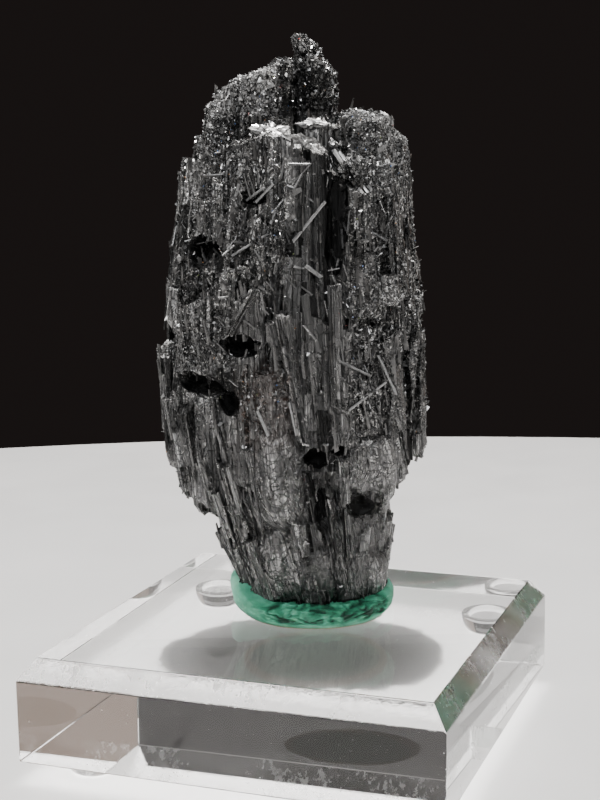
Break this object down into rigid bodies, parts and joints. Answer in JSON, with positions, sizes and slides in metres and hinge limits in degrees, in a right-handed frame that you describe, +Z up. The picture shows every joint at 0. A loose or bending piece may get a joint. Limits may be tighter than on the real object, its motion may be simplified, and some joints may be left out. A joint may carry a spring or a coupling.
{
  "type": "black tourmaline specimen on an acrylic base",
  "caption": "Upright cluster of black tourmaline prisms pressed into green putty on a square clear acrylic display base with bevelled edges and bumper feet.",
  "frame": {"origin": "on the ground, at the centre of the square base", "axes": "+Z up, -Y out of the base's front edge, +X to the right along it; the stone faces 20.5 degrees to the right of -Y"},
  "size_m": [0.0762, 0.0762, 0.1285],
  "materials": {
    "tourmaline": "satin",
    "putty": "satin",
    "acrylic": "polished",
    "bumper": "gloss"
  },
  "bodies": {
    "root": {"tourmaline": "tourmaline", "mounting_putty": "putty", "acrylic_base": "acrylic", "foot_front_left": "bumper", "foot_front_right": "bumper", "foot_back_left": "bumper", "foot_back_right": "bumper"}
  },
  "joints": []
}
